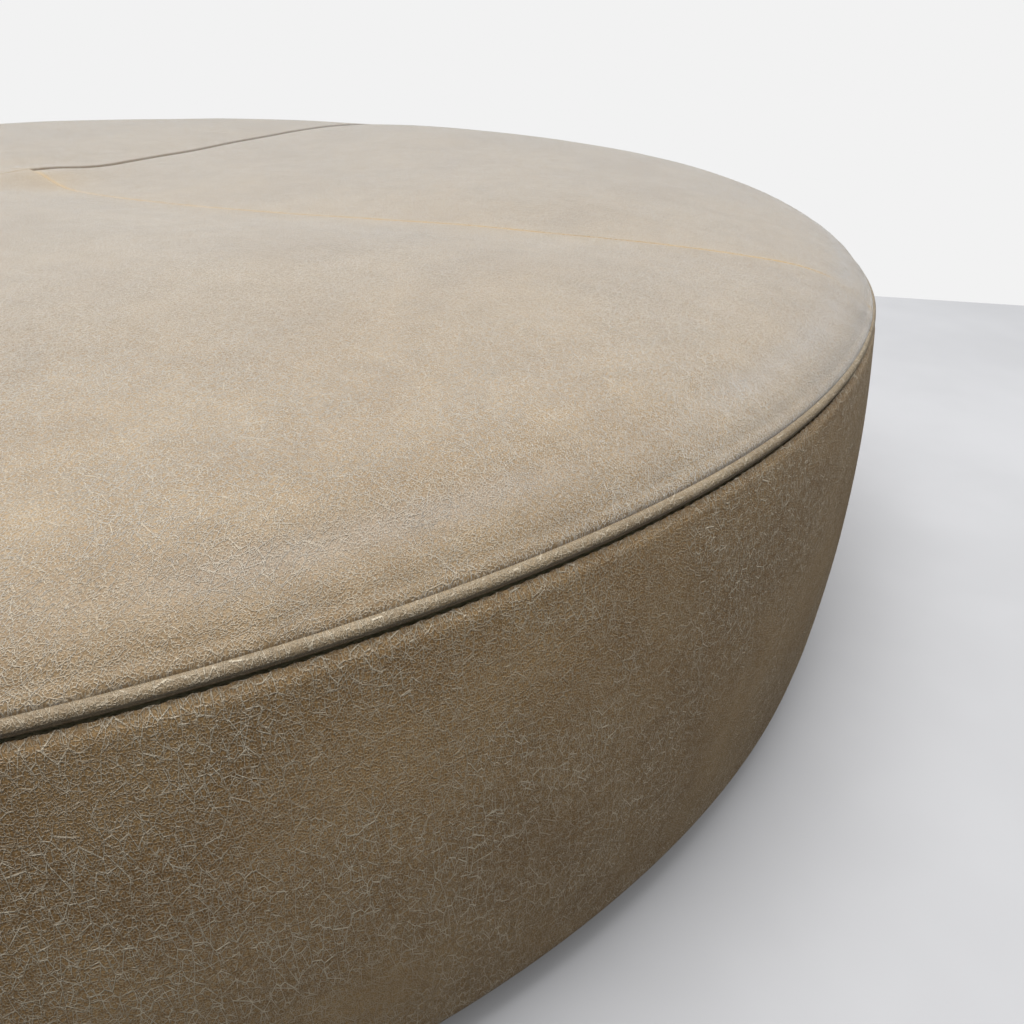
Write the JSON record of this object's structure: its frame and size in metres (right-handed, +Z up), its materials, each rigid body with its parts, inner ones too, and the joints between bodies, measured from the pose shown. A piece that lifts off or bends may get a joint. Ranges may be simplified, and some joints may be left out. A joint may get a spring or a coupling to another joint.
{
  "type": "round leather pouf",
  "caption": "Low round leather-covered drum pouf with a crowned top of quarter panels, a piped edge, a plain side band tucked under and small set-back feet.",
  "frame": {"origin": "on the floor under the middle of the pouf", "axes": "+Z up; the top's two cross seams lie over X and Y"},
  "size_m": [1.224, 1.2239, 0.3],
  "materials": {
    "top_leather": "antiqued, satin",
    "band_leather": "antiqued, creased, satin",
    "welt_leather": "antiqued, satin",
    "cord": "twisted paper cord",
    "thread": "bonded sewing thread",
    "top_thread": "waxed sewing thread",
    "wadding": "polyester wadding",
    "foam": "open-cell foam",
    "plywood": "raw plywood",
    "pine": "raw pine",
    "bent_board": "raw flexible plywood",
    "dust_cloth": "black non-woven cloth",
    "foot": "black moulded plastic",
    "screw_steel": "zinc plated",
    "staple_steel": "galvanised wire"
  },
  "bodies": {
    "root": {"top_panel_1": "top_leather", "top_panel_2": "top_leather", "top_panel_3": "top_leather", "top_panel_4": "top_leather", "side_band_1": "band_leather", "side_band_2": "band_leather", "side_band_3": "band_leather", "welt_cover": "welt_leather", "welt_cord": "cord", "edge_seam_thread": "thread", "top_seam_thread": "top_thread", "top_batting": "wadding", "side_batting": "wadding", "top_foam": "foam", "side_foam": "foam", "deck_board": "plywood", "base_ring": "plywood", "post_1": "pine", "post_2": "pine", "post_3": "pine", "post_4": "pine", "post_5": "pine", "post_6": "pine", "post_7": "pine", "post_8": "pine", "rail_x": "plywood", "rail_y": "plywood", "side_skin_1": "bent_board", "side_skin_2": "bent_board", "dust_cover": "dust_cloth", "foot_1": "foot", "foot_2": "foot", "foot_3": "foot", "foot_4": "foot", "foot_5": "foot", "foot_6": "foot", "foot_7": "foot", "foot_8": "foot", "deck_post_screws": "screw_steel", "deck_rail_screws": "screw_steel", "base_post_screws": "screw_steel", "base_rail_screws": "screw_steel", "foot_screws": "screw_steel", "skin_screws": "screw_steel", "hem_staples": "staple_steel", "dust_staples": "staple_steel"}
  },
  "joints": []
}
